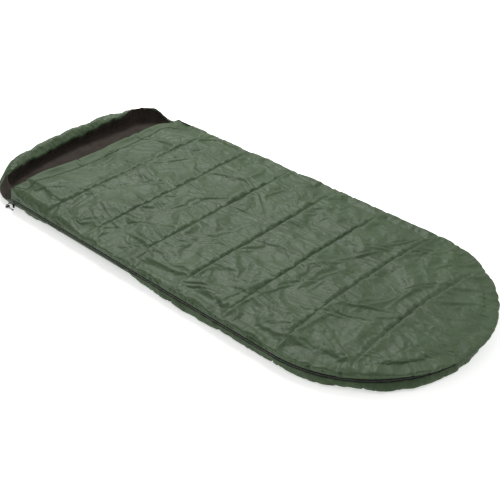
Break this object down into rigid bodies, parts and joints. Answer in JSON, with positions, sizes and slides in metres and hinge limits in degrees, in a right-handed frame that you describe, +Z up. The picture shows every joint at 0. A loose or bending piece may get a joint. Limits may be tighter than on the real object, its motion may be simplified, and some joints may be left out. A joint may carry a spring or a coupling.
{
  "type": "sleeping bag",
  "caption": "Quilted semi-rectangular sleeping bag with a round foot, fleece lining, cupped drawcord hood and a zip along one side and round the foot.",
  "frame": {"origin": "under the middle of the bag, on the surface that it lies on", "axes": "+X from the hood to the foot, +Y to the sewn side, -Y to the zip side, +Z up from the surface"},
  "size_m": [2.094, 0.9276, 0.1173],
  "materials": {
    "shell": "plain-weave polyester taffeta, calendered, faint sheen",
    "lining": "brushed polyester fleece, matt",
    "filling": "carded hollow-fibre wadding",
    "binding": "folded polyester binding, stitched",
    "zip_tape": "woven polyester zip tape",
    "zip_coil": "nylon monofilament coil",
    "metal": "nickel-plated zinc alloy and steel wire",
    "moulded_plastic": "injection-moulded, fine texture",
    "elastic_cord": "braided elastic cord"
  },
  "bodies": {
    "base": {"base_shell": "shell", "base_filling": "filling", "base_lining": "lining", "base_zip_tape": "zip_tape", "base_zip_coil": "zip_coil", "base_zip_head_stop": "metal", "zip_foot_stop": "metal", "side_seam_binding": "binding", "drawcord_eyelet": "metal", "drawcord_tail": "elastic_cord", "drawcord_knot": "elastic_cord"},
    "top": {"top_shell": "shell", "top_filling": "filling", "top_lining": "lining", "top_head_hem": "binding", "top_zip_tape": "zip_tape", "top_zip_coil": "zip_coil", "top_zip_head_stop": "metal"},
    "hood": {"hood_floor_shell": "shell", "hood_floor_filling": "filling", "hood_floor_lining": "lining", "hood_collar_shell": "shell", "hood_collar_filling": "filling", "hood_collar_lining": "lining", "hood_drawcord_channel": "shell", "hood_drawcord": "elastic_cord"},
    "head_slider": {"zip_head_slider": "metal"},
    "head_pull": {"zip_head_slider_pull_loop": "metal", "zip_head_slider_pull_grip": "moulded_plastic"},
    "foot_slider": {"zip_foot_slider": "metal"},
    "foot_pull": {"zip_foot_slider_pull_loop": "metal", "zip_foot_slider_pull_grip": "moulded_plastic"},
    "cord_lock": {"cord_lock_barrel": "moulded_plastic", "cord_lock_spring": "metal"},
    "cord_lock_button": {"cord_lock_plunger": "moulded_plastic"}
  },
  "joints": [
    {"name": "top_open", "type": "hinge", "parent": "base", "child": "top", "pos_m": [0, 0.452, 0.0437], "axis": [-1, 0, 0], "range_deg": [0, 180]},
    {"name": "hood_fold", "type": "hinge", "parent": "base", "child": "hood", "pos_m": [-0.825, 0, 0.0437], "axis": [0, 1, 0], "range_deg": [0, 60]},
    {"name": "head_slider_run", "type": "slide", "parent": "base", "child": "head_slider", "axis": [1, 0, 0], "range_m": [0, 1.36]},
    {"name": "head_pull_lift", "type": "hinge", "parent": "head_slider", "child": "head_pull", "pos_m": [-0.781, -0.459, 0.036], "axis": [-1, 0, 0], "range_deg": [0, 150]},
    {"name": "foot_slider_run", "type": "hinge", "parent": "base", "child": "foot_slider", "pos_m": [0.595, 0, 0.036], "axis": [0, 0, -1], "range_deg": [0, 163]},
    {"name": "foot_pull_lift", "type": "hinge", "parent": "foot_slider", "child": "foot_pull", "pos_m": [0.69043, 0.44897, 0.036], "axis": [0.9781, -0.2079, 0], "range_deg": [0, 150]},
    {"name": "cord_lock_run", "type": "slide", "parent": "base", "child": "cord_lock", "axis": [1, 0, 0], "range_m": [0, 0.014]},
    {"name": "cord_lock_press", "type": "slide", "parent": "cord_lock", "child": "cord_lock_button", "axis": [0, 1, 0], "range_m": [0, 0.003], "stiffness_N_per_m": 600, "springref_m": -0.002, "deforming": ["cord_lock_spring"]}
  ]
}
